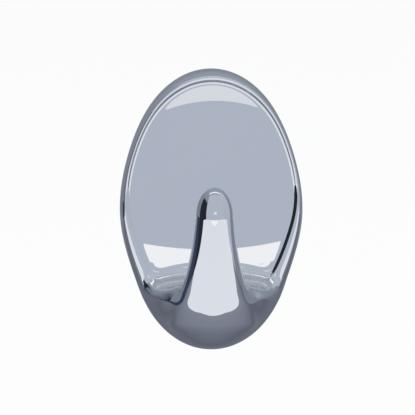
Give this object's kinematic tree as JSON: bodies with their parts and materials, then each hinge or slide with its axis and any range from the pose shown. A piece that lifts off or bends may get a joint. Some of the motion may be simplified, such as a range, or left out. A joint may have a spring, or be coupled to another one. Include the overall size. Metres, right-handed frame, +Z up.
{
  "type": "adhesive wall hook",
  "caption": "Oval plated wall hook with a sunk face and an upright finger, sliding onto a hidden wall plate that a stretch-release adhesive strip holds to a smooth wall",
  "frame": {"origin": "centre of the rear adhesive face, on the wall plane", "axes": "+Z up the wall, +X to the viewer's right when facing the hook, -Y out of the wall towards the viewer"},
  "size_m": [0.039, 0.0218, 0.0599],
  "materials": {
    "plating": "polished",
    "plate_plastic": "satin",
    "foam": "matte",
    "adhesive": "gloss",
    "tab_film": "satin"
  },
  "bodies": {
    "base": {"wall_plate": "plate_plastic", "strip_core": "foam", "front_adhesive": "adhesive", "rear_adhesive": "adhesive", "pull_tab": "tab_film"},
    "cover": {"hook_cover": "plating"}
  },
  "joints": [
    {"name": "cover_slide", "type": "slide", "parent": "base", "child": "cover", "axis": [0, 0, 1], "range_m": [0, 0.038]}
  ]
}
